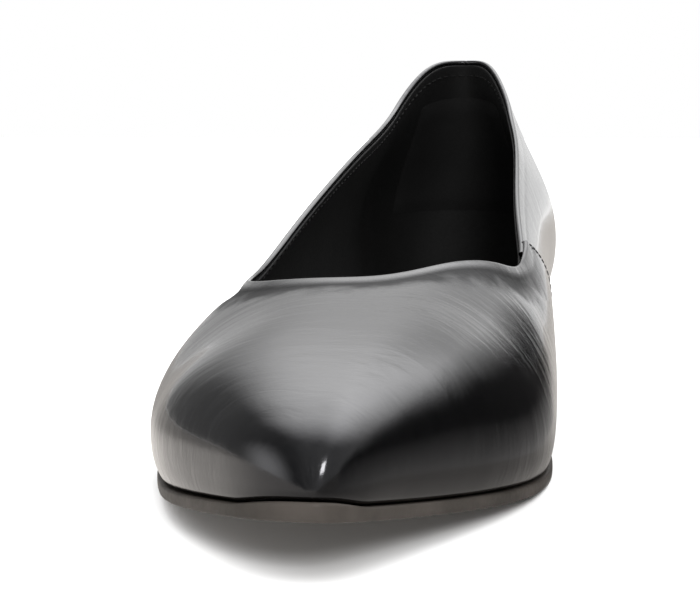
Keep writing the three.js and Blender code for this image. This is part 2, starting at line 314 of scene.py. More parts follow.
def half_ring(side):
    """Lines of the wall on one side from the heel's back to the toe: foot, top, up."""
    shares = {name: np.arange(count) / count for name, count in RING_STEPS.items()}
    heel = shares["heel"]
    heel_length = HEEL_RADIUS * (1 - np.cos(heel * math.pi / 2))
    quarter = shares["quarter"]
    top_length = blend(HEEL_RADIUS, THROAT_START, quarter)
    quarter_top = along_at(top_length)
    corner = up_at_height(
        along_at(np.array([THROAT_START])), topline_height(THROAT_START), np.array([side])
    )
    vamp = np.append(shares["vamp"], 1.0)
    turn = vamp * math.pi / 2
    throat = blend(THROAT_START, THROAT_END, np.sin(turn) ** THROAT_SQUARENESS)
    throat = throat - side * THROAT_SKEW * np.sin(2 * turn)
    foot = np.concatenate([
        heel,
        along_at(blend(HEEL_RADIUS, SEAM_FOOT * LENGTH, quarter)),
        blend(along_at(SEAM_FOOT * LENGTH), 2, vamp),
    ])
    top = np.concatenate([heel, quarter_top, along_at(throat)])
    sides = np.full(len(heel) + len(quarter), float(side))
    heights = topline_height(np.concatenate([heel_length, top_length]))
    up = np.concatenate([
        up_at_height(top[:len(sides)], heights, sides),
        np.arccos(np.cos(corner * math.pi / 2) * np.cos(turn)) * 2 / math.pi,
    ])
    return foot, top, up


def wall_places(ring, levels):
    """Place along and share up the last, on each line of the ring at each level from foot to topline."""
    level = np.broadcast_to(levels, (ring.shape[1], levels.shape[-1]))
    foot, top, up, side = (column[:, None] + 0 * level for column in ring)
    quarter_turn = math.pi / 2
    share = (1 - np.cos(up * level * quarter_turn)) / (1 - np.cos(up * quarter_turn))
    length = blend(length_at(foot), length_at(top), share)
    along = np.where(foot < 1, foot, along_at(length))
    shape = along.shape
    widths = [plan_width(place.ravel(), side.ravel()).reshape(shape) for place in (foot, top, along)]
    width = blend(widths[0], widths[1] * np.cos(up * quarter_turn), share)
    across = np.divide(width, widths[2], out=np.zeros(shape), where=widths[2] > 1e-9)
    climb = np.where(foot < 1, up * level, np.arccos(np.clip(across, 0, 1)) / quarter_turn)
    climb = np.where(foot == 2, np.where(level > 0, 1, 0), climb)
    return along, climb, side


def wall_grid(ring, levels):
    """Points of the last on each line of the ring at each level."""
    along, climb, side = wall_places(ring, levels)
    return last_point(along.ravel(), climb.ravel(), side.ravel()).reshape(along.shape + (3,))


# From the ridge of the last down to the feather line, about the same all along for the grain
HALF_GIRTH = 60 * MM


def grain_places(ring, levels):
    """Places for the leather's grain: length round the last, and distance across it from the ridge."""
    along, climb, side = wall_places(ring, levels)
    round_heel = HEEL_RADIUS - (1 - along) * HEEL_RADIUS * math.pi / 2
    length = np.where(along < 1, round_heel, length_at(along))
    return np.stack([length, side * (1 - climb) * HALF_GIRTH], -1)


def ring_lines(side, *parts):
    """Lines of one side from the back forward, as rows of foot, top, up and side."""
    foot, top, up = half_ring(side)
    marks = np.cumsum([0, *RING_STEPS.values()])
    ends = {"heel": (0, marks[1]), "quarter": (marks[1], marks[2]), "vamp": (marks[2], len(foot))}
    pick = slice(ends[parts[0]][0], ends[parts[-1]][1])
    return np.stack([foot, top, up, np.full(len(foot), float(side))], -1)[pick]


def whole_lines():
    """All lines, from the heel's back along the inner side to the toe and back along the outer side."""
    inner = ring_lines(1, "heel", "vamp")
    outer = ring_lines(-1, "heel", "vamp")
    return np.concatenate([inner, outer[1:-1][::-1]])


def unit(vectors):
    return vectors / np.maximum(np.linalg.norm(vectors, axis=-1, keepdims=True), TINY)


def lengths_between(grid, axis):
    """Distance run along an axis of a grid, from its first point."""
    steps = np.linalg.norm(np.diff(grid, axis=axis), axis=-1)
    start = np.zeros_like(np.take(steps, [0], axis))
    return np.concatenate([start, np.cumsum(steps, axis)], axis)


def directions(grid, closed):
    """Directions out of the last and up the wall at each point of a grid."""
    if closed:
        around = np.roll(grid, -1, 0) - np.roll(grid, 1, 0)
    else:
        around = np.gradient(grid, axis=0)
    climb = np.gradient(grid, axis=1)
    out = unit(np.cross(climb, around))
    out[:, 0, 2] = 0
    return unit(out), unit(climb)


# From the last's own place to the frame's, by the upper's box
ROUGH_LEVELS = 13
upper_low, upper_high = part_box("upper")
rough = wall_grid(whole_lines().T, np.linspace(0, 1, ROUGH_LEVELS)).reshape(-1, 3)
SHIFT = (np.array(upper_low) + np.array(upper_high)) / 2 - (rough.min(0) + rough.max(0)) / 2
SHIFT[2] = 0

# Levels of a wall, closer together at its foot and towards its topline
FOOT_LEVELS = (0, 0.003, 0.007, 0.012)
FIRST_LEVEL = 0.018
CROWDING = 1.3
LEVELS = np.concatenate([FOOT_LEVELS, 1 - (1 - np.linspace(FIRST_LEVEL, 1, WALL_STEPS)) ** CROWDING])
LINING_LEVELS = 1 - (1 - np.linspace(0, 1, WALL_STEPS // 2)) ** CROWDING

SHARP_ANGLE = math.radians(40)


def add_mesh(name, points, faces, look, replaces=(), coordinates=()):
    """One piece of the shoe, smooth apart from its edges."""
    mesh = bpy.data.meshes.new(name)
    mesh.from_pydata((np.asarray(points).reshape(-1, 3) + SHIFT).tolist(), [], faces)
    mesh.polygons.foreach_set("use_smooth", np.ones(len(faces), bool))
    corners = np.zeros(len(mesh.loops), np.int32)
    mesh.loops.foreach_get("vertex_index", corners)
    for layer_name, places in dict(coordinates).items():
        layer = mesh.uv_layers.new(name=layer_name)
        layer.data.foreach_set("uv", np.asarray(places, np.float32)[corners].ravel())
    mesh.set_sharp_from_angle(angle=SHARP_ANGLE)
    mesh.materials.append(look)
    piece = bpy.data.objects.new(name, mesh)
    bpy.context.scene.collection.objects.link(piece)
    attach(piece, "root")
    if replaces:
        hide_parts(*replaces)


def loop_faces(lines, loop, closed):
    """Faces of a closed loop of points carried along lines; open ends are closed by strips."""
    i = np.arange(lines if closed else lines - 1)[:, None]
    j = np.arange(loop)[None, :]
    after = (i + 1) % lines
    above = (j + 1) % loop
    corners = (i * loop + j, i * loop + above, after * loop + above, after * loop + j)
    faces = np.stack(np.broadcast_arrays(*corners), -1).reshape(-1, 4).tolist()
    if closed:
        return faces
    half = loop // 2
    cap = [[k, k + 1, loop - 2 - k, loop - 1 - k] for k in range(half - 1)]
    if loop % 2:
        cap.append([half - 1, half, half + 1])
    end = (lines - 1) * loop
    return faces + [face[::-1] for face in cap] + [[end + n for n in face] for face in cap]


def ring_faces(rings, count):
    """Faces of a stack of rings, with strips from side to side over its bottom and top."""
    j = np.arange(rings - 1)[:, None]
    i = np.arange(count)[None, :]
    after = (i + 1) % count
    corners = (j * count + i, (j + 1) * count + i, (j + 1) * count + after, j * count + after)
    faces = np.stack(np.broadcast_arrays(*corners), -1).reshape(-1, 4).tolist()
    strips = [[0, 1, count - 1]]
    for k in range(1, (count - 1) // 2):
        strips.append([k, k + 1, count - k - 1, count - k])
    if count % 2 == 0:
        strips.append([count // 2 - 1, count // 2, count // 2 + 1])
    top = (rings - 1) * count
    return faces + strips + [[top + n for n in strip[::-1]] for strip in strips]


# Angles of the points round a sheet's rim, from its face over the top to its back
RIM_TURNS = np.radians((20, 42, 66, 90, 114, 138, 160))


def add_sheet(name, grid, closed, outer, inner, look, replaces=(), coordinates=()):
    """A sheet between two distances out from the last, with a rounded rim along its top."""
    out, climb = directions(grid, closed)
    face = grid + out * outer[..., None]
    back = grid + out * inner[..., None]
    centre = (face[:, -1] + back[:, -1]) / 2
    radius = ((outer - inner)[:, -1] / 2)[:, None]
    rim = [
        centre + radius * (out[:, -1] * math.cos(turn) + climb[:, -1] * math.sin(turn))
        for turn in RIM_TURNS
    ]
    points = np.concatenate([face, np.stack(rim, 1), back[:, ::-1]], 1)
    lines, loop = points.shape[:2]
    layers = {}
    for layer_name, places in dict(coordinates).items():
        rim_places = np.repeat(places[:, -1:], len(RIM_TURNS), 1)
        layers[layer_name] = np.concatenate([places, rim_places, places[:, ::-1]], 1).reshape(-1, 2)
    add_mesh(name, points, loop_faces(lines, loop, closed), look, replaces, layers)


# Leather and lining. The folded topline is thicker down to the first depth and thins out at the second.
LEATHER = 0.9 * MM
LEATHER_FOLD = 0.3 * MM
FOLD_DEPTH = (1.5 * MM, 4 * MM)
LINING_GAP = 0.05 * MM
LINING_DROP = 0.7 * MM
QUARTER_BACK = 0.3 * MM

# Rounding of cut edges and of the foot: how deep it goes and how far it reaches
EDGE_ROUND = 0.45 * MM
EDGE_REACH = 0.8 * MM
FOOT_ROUND = 0.5 * MM
FOOT_REACH = 0.8 * MM

# Share of the vamp over which its step at the seam fades, and lines by which the quarter reaches under it
PROUD_END = 0.25
UNDERLAP = 7
END_SHARES = (0.0, 0.07, 0.15, 0.26, 0.45, 0.7)


def with_end_lines(lines):
    """Adds lines within the first step, so that the sheet's end can be rounded there."""
    extra = np.array([blend(lines[0], lines[1], share) for share in END_SHARES])
    return np.concatenate([extra, lines[1:]])


def rounded(distance, reach, depth):
    """How far an edge drops by its rounding, at a distance from it."""
    share = np.clip(1 - distance / reach, 0, 1)
    return depth * (1 - np.sqrt(1 - share ** 2))


def heights_in_wall(grid):
    """Distances up the wall from its foot, and down from its topline."""
    rise = lengths_between(grid, 1)
    return rise, rise[:, -1:] - rise


def fold(below):
    """Thickness that the folded topline adds on the leather's inside."""
    return LEATHER_FOLD * (1 - smooth(*FOLD_DEPTH, below))


def proud_of_quarter(share):
    """Height of the vamp's step over the inner quarter, at a share of the way from the seam to the toe."""
    return OVERLAP_THICKNESS * (1 - smooth(0, PROUD_END, share))


# Soft troughs of the leather. Each row: depth, which is minus, and width in millimetres, then three places as
# length in millimetres and place across, from 1 at the inner feather line over the ridge to -1.
CREASES = (
    (-0.35, 3.5, (148, 0.60), (164, 0.46), (184, 0.26)),
    (-0.25, 3.0, (150, -0.66), (163, -0.50), (178, -0.34)),
    (-0.12, 1.2, (132, 0.74), (138, 0.66), (146, 0.60)),
    (-0.10, 1.0, (135, 0.68), (143, 0.60), (152, 0.56)),
)
CREASE_STEPS = 16
CREASE_ENDS = (0.03, 0.97)
CREASE_TAPER = 0.7


def crease_path(places):
    """Points on the last along the middle of a crease."""
    lengths, across = np.array(places).T
    stops = np.arange(len(places))
    marks = np.linspace(0, stops[-1], CREASE_STEPS * stops[-1] + 1)
    length = spline(stops, lengths)(marks)
    place = np.interp(marks, stops, across)
    side = np.where(place < 0, -1, 1)
    return last_point(along_at(length * MM), 1 - np.abs(place), side)


def relief(grid):
    """Height of the creases at each point of a grid."""
    height = np.zeros(grid.shape[:2])
    for depth, width, *places in CREASES:
        path = crease_path(places)
        distance = np.linalg.norm(grid[:, :, None] - path, axis=-1)
        nearest = distance.argmin(-1)
        share = nearest / (len(path) - 1)
        taper = np.sin(np.clip(share, *CREASE_ENDS) * math.pi) ** CREASE_TAPER
        height += depth * MM * taper * np.exp(-(distance.min(-1) / (width * MM)) ** 2)
    return height


# The trough in front of the throat, with the shares of the toe over which it sets in, and the line where the
# folded edge ends
THROAT_TROUGH = {"depth": 0.35 * MM, "at": 4.5 * MM, "width": 3.0 * MM}
TROUGH_SIDES = (0.2, 0.6)
FOLD_LINE = {"depth": 0.10 * MM, "at": 3.2 * MM, "width": 0.9 * MM}


def groove(trough, below):
    return trough["depth"] * np.exp(-((below - trough["at"]) / trough["width"]) ** 2)


def add_vamp(look):
    """Vamp and outer quarter in one sheet, from the seam round the toe to the heel's back."""
    inner_side = with_end_lines(ring_lines(1, "vamp"))
    outer_side = with_end_lines(ring_lines(-1, "heel", "vamp"))[:-1][::-1]
    lines = np.concatenate([inner_side, outer_side])
    grid = wall_grid(lines.T, LEVELS)
    steps = RING_STEPS["vamp"]
    share = np.concatenate([END_SHARES, np.arange(1, steps + 1)]) / steps
    share = np.concatenate([share, np.ones(len(outer_side))])[:, None]
    proud = proud_of_quarter(share)
    rise, below = heights_in_wall(grid)
    from_seam = lengths_between(grid, 0)
    from_back = lengths_between(grid[::-1], 0)[::-1]
    toe = np.zeros((len(lines), 1))
    vamp = slice(0, len(inner_side) + steps)
    toe[vamp, 0] = np.sqrt(np.sin(np.linspace(0, math.pi, toe[vamp].size)))
    face = proud + relief(grid)
    face = face - groove(THROAT_TROUGH, below) * smooth(*TROUGH_SIDES, toe) - groove(FOLD_LINE, below)
    face = face - rounded(from_seam, EDGE_REACH, EDGE_ROUND) - rounded(from_back, EDGE_REACH, EDGE_ROUND)
    back = face - LEATHER - fold(below)
    face = face - rounded(rise, FOOT_REACH, FOOT_ROUND)
    edge = np.stack([below, np.broadcast_to(toe, below.shape)], -1)
    places = {"grain": grain_places(lines.T, LEVELS), "edge": edge}
    add_sheet("vamp", grid, False, face, back, look, ["upper"], places)
    return grid, proud


def add_inner_quarter(look):
    """Inner quarter from the heel's back to the seam and a little way under the vamp."""
    body = with_end_lines(ring_lines(1, "heel", "quarter"))
    under = ring_lines(1, "vamp")[:UNDERLAP]
    lines = np.concatenate([body, under]).T
    grid = wall_grid(lines, LEVELS)
    share = np.concatenate([np.zeros(len(body)), np.arange(UNDERLAP) / RING_STEPS["vamp"]])[:, None]
    room = proud_of_quarter(share) - LEATHER - LINING_GAP
    covered = np.minimum(room, 0) * (share > 0)
    rise, below = heights_in_wall(grid)
    face = relief(grid) + covered - groove(FOLD_LINE, below)
    face = face - rounded(lengths_between(grid, 0), EDGE_REACH, EDGE_ROUND)
    back = np.minimum(face - LEATHER - fold(below), -QUARTER_BACK)
    face = face - rounded(rise, FOOT_REACH, FOOT_ROUND)
    places = {"grain": grain_places(lines, LEVELS), "edge": np.stack([below, 0 * below], -1)}
    add_sheet("inner_quarter", grid, False, face, back, look, ["upper"], places)


def add_lining(look):
    lines = whole_lines()
    full = lengths_between(wall_grid(lines.T, LINING_LEVELS), 1)[:, -1:]
    grid = wall_grid(lines.T, LINING_LEVELS * (1 - LINING_DROP / full))
    outer = -LEATHER - LINING_GAP - fold(heights_in_wall(grid)[1])
    inner = np.full(outer.shape, -WALL)
    add_sheet("lining", grid, True, outer, inner, look, ["upper"])
    return grid


# Heel grip: a pad on the lining round the heel's back
GRIP_LINES = 13
GRIP_LEVELS = np.linspace(0.34, 0.86, 28)
GRIP_THICKNESS = 0.5 * MM
GRIP_EDGE = 3 * MM
GRIP_EDGE_SHARE = 0.15
GRIP_GAP = 0.02 * MM


def add_heel_grip(look):
    outer_side = ring_lines(-1, "heel")[1:GRIP_LINES][::-1]
    lines = np.concatenate([outer_side, ring_lines(1, "heel")[:GRIP_LINES]])
    grid = wall_grid(lines.T, GRIP_LEVELS)
    rise, below = heights_in_wall(grid)
    around = lengths_between(grid, 0)
    edge = np.minimum(np.minimum(rise, below), np.minimum(around, around[-1:] - around))
    thickness = GRIP_THICKNESS * blend(GRIP_EDGE_SHARE, 1, smooth(0, GRIP_EDGE, edge))
    outer = np.full(thickness.shape, -WALL - GRIP_GAP)
    add_sheet("heel_grip", grid, False, outer, outer - thickness, look)


# A stitch is a thread of rings: share of its length, and size as a share of its radius.
# It rises out of the leather by the part of its size above the sunken share.
STITCH_SIDES = 8
STITCH_SHAPE = ((0.0, 0.25), (0.08, 0.7), (0.25, 1.0), (0.5, 1.08), (0.75, 1.0), (0.92, 0.7), (1.0, 0.25))
STITCH_SUNKEN = 0.75


def add_stitches(name, path, out, length, gap, radius, look, slot):
    """A row of stitches along a path, each a short thread with sunken ends."""
    run = lengths_between(path[:, None], 0)[:, 0]
    count = int(run[-1] // (length + gap))
    points = []
    faces = []
    turns = np.arange(STITCH_SIDES) * 2 * math.pi / STITCH_SIDES

    def along(values, at):
        return np.array([np.interp(at, run, values[:, axis]) for axis in range(3)])

    for k in range(count):
        start = (k + 0.5) * run[-1] / count - length / 2
        base = len(points)
        for share, size in STITCH_SHAPE:
            at = start + share * length
            up = unit(along(out, at))
            ahead = along(path, at + length / 4) - along(path, at - length / 4)
            across = unit(np.cross(ahead, up))
            centre = along(path, at) + up * radius * (size - STITCH_SUNKEN)
            for turn in turns:
                points.append(centre + size * radius * (across * math.cos(turn) + up * math.sin(turn)))
        rings = len(STITCH_SHAPE)
        for ring in range(rings - 1):
            for i in range(STITCH_SIDES):
                a = base + ring * STITCH_SIDES + i
                b = base + ring * STITCH_SIDES + (i + 1) % STITCH_SIDES
                faces.append([a, b, b + STITCH_SIDES, a + STITCH_SIDES])
        faces.append([base + i for i in reversed(range(STITCH_SIDES))])
        faces.append([base + (rings - 1) * STITCH_SIDES + i for i in range(STITCH_SIDES)])
    add_mesh(name, points, faces, look)


def at_distance(values, distances, wanted):
    """Values along each row where its distances reach the wanted one."""
    return np.stack([
        [np.interp(wanted, row_distance, row[:, axis]) for axis in range(3)]
        for row, row_distance in zip(values, distances)
    ])


# Length, gap and radius of the stitches; how far the rows lie from the edges and stop short of their ends
COLLAR_STITCH = (1.7 * MM, 0.7 * MM, 0.2 * MM)
COLLAR_STITCH_DROP = 2.6 * MM
SEAM_STITCH = (2.0 * MM, 0.15 * MM, 0.10 * MM)
SEAM_STITCH_INSET = 1.5 * MM
SEAM_STITCH_ENDS = (1.5 * MM, 1.0 * MM)
SEAM_LINES = 4


def add_collar_stitches(grid, look):
    """The row round the collar, on the inside of the lining."""
    out, _ = directions(grid, True)
    rise = lengths_between(grid, 1)
    face = grid - out * WALL
    past_row = rise - (rise[:, -1:] - COLLAR_STITCH_DROP)
    path = at_distance(face, past_row, 0)
    normal = at_distance(-out, past_row, 0)
    path = np.concatenate([path, path[:1]])
    normal = np.concatenate([normal, normal[:1]])
    add_stitches("collar_stitches", path, normal, *COLLAR_STITCH, look, "insole_leather")


def add_seam_stitches(grid, proud, look):
    """The row along the vamp's cut edge at the inner side seam."""
    lines = len(END_SHARES) + SEAM_LINES
    out, _ = directions(grid, False)
    face = (grid + out * proud[..., None])[:lines].transpose(1, 0, 2)
    normal = out[:lines].transpose(1, 0, 2)
    distances = lengths_between(face, 1)
    path = at_distance(face, distances, SEAM_STITCH_INSET)
    normal = at_distance(normal, distances, SEAM_STITCH_INSET)
    run = lengths_between(path[:, None], 0)[:, 0]
    keep = (run > SEAM_STITCH_ENDS[0]) & (run < run[-1] - SEAM_STITCH_ENDS[1])
    add_stitches("seam_stitches", path[keep], normal[keep], *SEAM_STITCH, look, "upper_leather")


# Sole, heel and insole
SOLE_EDGE = 0.7 * MM
HEEL_LENGTH = 52 * MM
HEEL_TAPER = 1.2 * MM
TOP_PIECE_THICKNESS = 5 * MM
PIECE_GAP = 0.05 * MM

# Heel outline: points nearer to the breast than this are left out, and its corner is read from a few beyond
BREAST_MARGIN = 0.5 * MM
BREAST_POINTS = 4

# Edges from bottom to top: inset in millimetres, and share of the height
SOLE_PROFILE = np.array([
    (1.20, 0.00), (0.55, 0.01), (0.28, 0.04), (0.10, 0.10), (0.02, 0.18),
    (0.00, 0.45), (0.03, 0.78), (0.12, 0.90), (0.35, 0.97), (0.80, 1.00),
])
INSOLE_PROFILE = np.array([
    (0.40, 0.00), (0.08, 0.08), (0.00, 0.25), (0.00, 0.70), (0.10, 0.87), (0.35, 0.97), (0.90, 1.00),
])
BLOCK_PROFILE = np.array([
    (0.60, 0.00), (0.20, 0.01), (0.05, 0.03), (0.00, 0.07), (0.00, 0.30), (0.00, 0.60),
    (0.00, 0.93), (0.05, 0.97), (0.20, 0.99), (0.60, 1.00),
])
TOP_PIECE_PROFILE = np.array([
    (0.90, 0.00), (0.40, 0.03), (0.12, 0.10), (0.00, 0.22), (0.00, 0.50),
    (0.00, 0.86), (0.05, 0.95), (0.18, 0.99), (0.50, 1.00),
])


# Levels close to the foot, from which the feather line and its direction out come
FEATHER_LEVELS = np.array([0, 0.02, 0.04])


def plan_ring(distance):
    """The feather line moved out in plan."""
    grid = wall_grid(whole_lines().T, FEATHER_LEVELS)
    out, _ = directions(grid, True)
    return grid[:, 0] + out[:, 0] * distance


def heel_ring(inset):
    """The feather line's back part, closed by the straight breast."""
    ring = plan_ring(-inset)
    half = len(ring) // 2
    sides = (ring[:half], np.concatenate([ring[:1], ring[:half:-1]]))
    ends = []
    for side in sides:
        stop = int(np.argmax(-side[:, 1] > HEEL_LENGTH - BREAST_MARGIN))
        reach = side[:stop + BREAST_POINTS]
        x = np.interp(HEEL_LENGTH, -reach[:, 1], reach[:, 0])
        ends.append(np.concatenate([side[:stop], [[x, -HEEL_LENGTH, 0]]]))
    return np.concatenate([ends[0], ends[1][1:][::-1]])


def add_stack(name, outline, profile, bottom, top, look, replaces):
    """A body from an outline that takes an inset, between two heights that depend on the length."""
    rings = []
    for inset, share in profile:
        ring = outline(inset * MM, share)
        length = -ring[:, 1]
        ring[:, 2] = blend(bottom(length), top(length), share)
        rings.append(ring)
    add_mesh(name, np.concatenate(rings), ring_faces(len(rings), len(rings[0])), look, replaces)


def level(height):
    """The same height at every length."""
    return lambda length: np.full_like(length, height)


def add_bottoms(looks):
    add_stack(
        "outsole", lambda inset, share: plan_ring(SOLE_EDGE - inset), SOLE_PROFILE,
        underside, sole_top, looks["sole"], ["outsole"],
    )
    add_stack(
        "sock_lining", lambda inset, share: plan_ring(-WALL - PIECE_GAP - inset), INSOLE_PROFILE,
        feather_height, lambda length: feather_height(length) + INSOLE_THICKNESS,
        looks["sock"], ["insole"],
    )
    add_stack(
        "heel_block", lambda inset, share: heel_ring(blend(HEEL_TAPER, 0, share) + inset), BLOCK_PROFILE,
        level(TOP_PIECE_THICKNESS + PIECE_GAP), lambda length: underside(length) - PIECE_GAP,
        looks["heel"], ["heel_block"],
    )
    add_stack(
        "top_piece", lambda inset, share: heel_ring(HEEL_TAPER + inset), TOP_PIECE_PROFILE,
        level(0), level(TOP_PIECE_THICKNESS), looks["rubber"], ["heel_top_piece"],
    )


class Look:
    """A material and short ways to add nodes to it."""

    def __init__(self, name):
        self.material = bpy.data.materials.new(name)
        self.material.use_nodes = True
        self.tree = self.material.node_tree
        self.shader = self.tree.nodes["Principled BSDF"]

    def node(self, kind, inputs=(), **settings):
        node = self.tree.nodes.new(kind)
        for key, value in settings.items():
            setattr(node, key, value)
        for key, value in dict(inputs).items():
            if isinstance(value, bpy.types.NodeSocket):
                self.tree.links.new(value, node.inputs[key])
            else:
                node.inputs[key].default_value = value
        return node

    def set(self, **values):
        for key, value in values.items():
            self.shader.inputs[key.replace("_", " ")].default_value = value

    def feed(self, key, socket):
        self.tree.links.new(socket, self.shader.inputs[key])

    def place(self, scale, layer=None):
        """Coordinates in metres times a scale on each axis, from a layer of the sheet or in space."""
        if layer:
            source = self.node("ShaderNodeUVMap", uv_map=layer).outputs["UV"]
        else:
            source = self.node("ShaderNodeTexCoord").outputs["Object"]
        return self.node("ShaderNodeMapping", {"Vector": source, "Scale": scale}).outputs["Vector"]

    def noise(self, vector, detail=3.0, roughness=0.55, distortion=0.0):
        inputs = {"Vector": vector, "Scale": 1.0, "Detail": detail}
        inputs.update({"Roughness": roughness, "Distortion": distortion})
        return self.node("ShaderNodeTexNoise", inputs).outputs["Fac"]

    def ranged(self, value, low, high, to_low, to_high):
        inputs = {"Value": value, "From Min": low, "From Max": high, "To Min": to_low, "To Max": to_high}
        return self.node("ShaderNodeMapRange", inputs).outputs["Result"]

    def smooth_range(self, value, low, high):
        """Share from 0 to 1 between two values, which may fall."""
        inputs = {"Value": value, "From Min": low, "From Max": high}
        node = self.node("ShaderNodeMapRange", inputs, interpolation_type="SMOOTHSTEP")
        return node.outputs["Result"]

    def sum(self, one, other):
        return self.node("ShaderNodeMath", {0: one, 1: other}, operation="ADD").outputs["Value"]

    def product(self, one, other):
        return self.node("ShaderNodeMath", {0: one, 1: other}, operation="MULTIPLY").outputs["Value"]

    def mixed(self, share, dark, light):
        node = self.node("ShaderNodeMix", data_type="RGBA")
        self.tree.links.new(share, node.inputs["Factor"])
        node.inputs["A"].default_value = (*dark, 1)
        node.inputs["B"].default_value = (*light, 1)
        return node.outputs["Result"]

    def bumps(self, *layers):
        """Bumps laid over each other: height socket, strength and depth in metres of each."""
        normal = None
        for height, strength, depth in layers:
            inputs = {"Height": height, "Strength": strength, "Distance": depth}
            if normal is not None:
                inputs["Normal"] = normal
            normal = self.node("ShaderNodeBump", inputs).outputs["Normal"]
        self.feed("Normal", normal)


# Where the noises, which crowd round a half, count as low and as high
NOISE_RANGE = (0.3, 0.7)

# Polished leather: scales of its noises per metre and depths of their bumps. The polish leaves streaks and
# finer hairs round the last, under them are waves, and wrinkles keep to a band in front of the throat.
STREAK_SCALE = (250, 45, 1)
STREAK_DEPTH = 0.18 * MM
HAIR_SCALE = (1500, 110, 1)
HAIR_DEPTH = 0.015 * MM
WAVE_SCALE = 55
WAVE_DEPTH = 0.2 * MM
GRAIN_SCALE = 2600
GRAIN_DEPTH = 0.01 * MM
WRINKLE_SCALE = 900
WRINKLE_DEPTH = 0.12 * MM
PATCH_SCALE = 110

# The band of wrinkles: distances below the topline at which it sets in and fades, how far patches move its
# end, and the shares of the toe over which it sets in from the sides
BAND_START = (0.8 * MM, 3.5 * MM)
BAND_END = (13.5 * MM, 5.0 * MM)
BAND_SHIFT = (-3.0 * MM, 4.0 * MM)
BAND_SIDES = (0.25, 0.7)

# Distances below the topline over which the streaks calm down to a share of their depth at the tip
CALM_RANGE = (62 * MM, 82 * MM)
CALM_SHARE = 0.3

# Colours, then roughness, coat and specular level, each outside the band and in it
POLISHED_DARK = (0.0006, 0.0007, 0.0009)
POLISHED_LIGHT = (0.0018, 0.0018, 0.0019)
POLISHED_SHADES = (0.3, 0.75)
POLISHED_ROUGHNESS = (0.14, 0.20)
BAND_ROUGHNESS = 0.32
POLISHED_COAT = (0.3, 0.0)
POLISHED_SPECULAR = (0.5, 0.16)


def upper_look():
    """Polished leather with streaks round the last, and a band of fine wrinkles in front of the throat."""
    look = Look("polished_black_leather")
    streaks = look.noise(look.place(STREAK_SCALE, "grain"), 5.0, 0.55, 0.6)
    hairs = look.noise(look.place(HAIR_SCALE, "grain"), 3.0, 0.6, 0.3)
    waves = look.noise(look.place((WAVE_SCALE,) * 3), 2.0)
    grain = look.noise(look.place((GRAIN_SCALE,) * 3), 2.0)
    wrinkles = look.noise(look.place((WRINKLE_SCALE,) * 3), 3.0, 0.6, 1.0)
    patches = look.noise(look.place((PATCH_SCALE,) * 3), 3.0)
    edge = look.node("ShaderNodeSeparateXYZ", {"Vector": look.place((1, 1, 1), "edge")}).outputs
    start = look.smooth_range(edge["X"], *BAND_START)
    shifted = look.sum(edge["X"], look.ranged(patches, *NOISE_RANGE, *BAND_SHIFT))
    end = look.smooth_range(shifted, *BAND_END)
    band = look.product(look.product(start, end), look.smooth_range(edge["Y"], *BAND_SIDES))
    calm = look.ranged(look.smooth_range(edge["X"], *CALM_RANGE), 0, 1, 1, CALM_SHARE)
    shade = look.ranged(hairs, *POLISHED_SHADES, 0, 1)
    look.feed("Base Color", look.mixed(shade, POLISHED_DARK, POLISHED_LIGHT))
    plain = look.ranged(hairs, *NOISE_RANGE, *POLISHED_ROUGHNESS)
    look.feed("Roughness", look.sum(plain, look.product(band, BAND_ROUGHNESS)))
    look.feed("Coat Weight", look.ranged(band, 0, 1, *POLISHED_COAT))
    look.feed("Specular IOR Level", look.ranged(band, 0, 1, *POLISHED_SPECULAR))
    look.bumps(
        (waves, 1.0, WAVE_DEPTH), (look.product(streaks, calm), 1.0, STREAK_DEPTH),
        (hairs, 1.0, HAIR_DEPTH), (grain, 1.0, GRAIN_DEPTH),
        (look.product(wrinkles, band), 1.0, WRINKLE_DEPTH),
    )
    # The reflections get a cool blue specular tint: painted light colour, standing in for a cool overhead
    # light, not the leather's own.
    look.set(IOR=1.45, Coat_Roughness=0.08, Specular_Tint=(0.955, 0.95, 1, 1))
    return look.material


# The plainer materials: name, dark and light colour, roughness, scale of the grain per metre, its depth in
# metres, and specular level. The inside and the sole's edge are duller than polished leather.
PLAIN_LOOKS = {
    "lining": ("black_lining", (0.002, 0.002, 0.002), (0.004, 0.004, 0.004), 0.7, 1500, 0.00006, 0.25),
    "sock": ("black_sock", (0.003, 0.003, 0.003), (0.006, 0.006, 0.006), 0.65, 1300, 0.00006, 0.25),
    "grip": ("heel_grip", (0.003, 0.003, 0.003), (0.005, 0.005, 0.005), 0.8, 2200, 0.00008, 0.25),
    "sole": ("sole_edge", (0.030, 0.026, 0.022), (0.056, 0.048, 0.042), 0.5, 900, 0.00005, 0.15),
    "heel": ("heel_cover", (0.008, 0.008, 0.009), (0.016, 0.015, 0.015), 0.3, 1800, 0.00003, 0.5),
    "rubber": ("top_piece_rubber", (0.012, 0.012, 0.012), (0.022, 0.022, 0.022), 0.7, 2500, 0.00008, 0.5),
}
CLOUD_SCALE = 90
CLOUD_DEPTH = 0.3 * MM
CLOUD_STRENGTH = 0.3
PLAIN_GRAIN_STRENGTH = 0.4
ROUGHNESS_SPREAD = 0.06


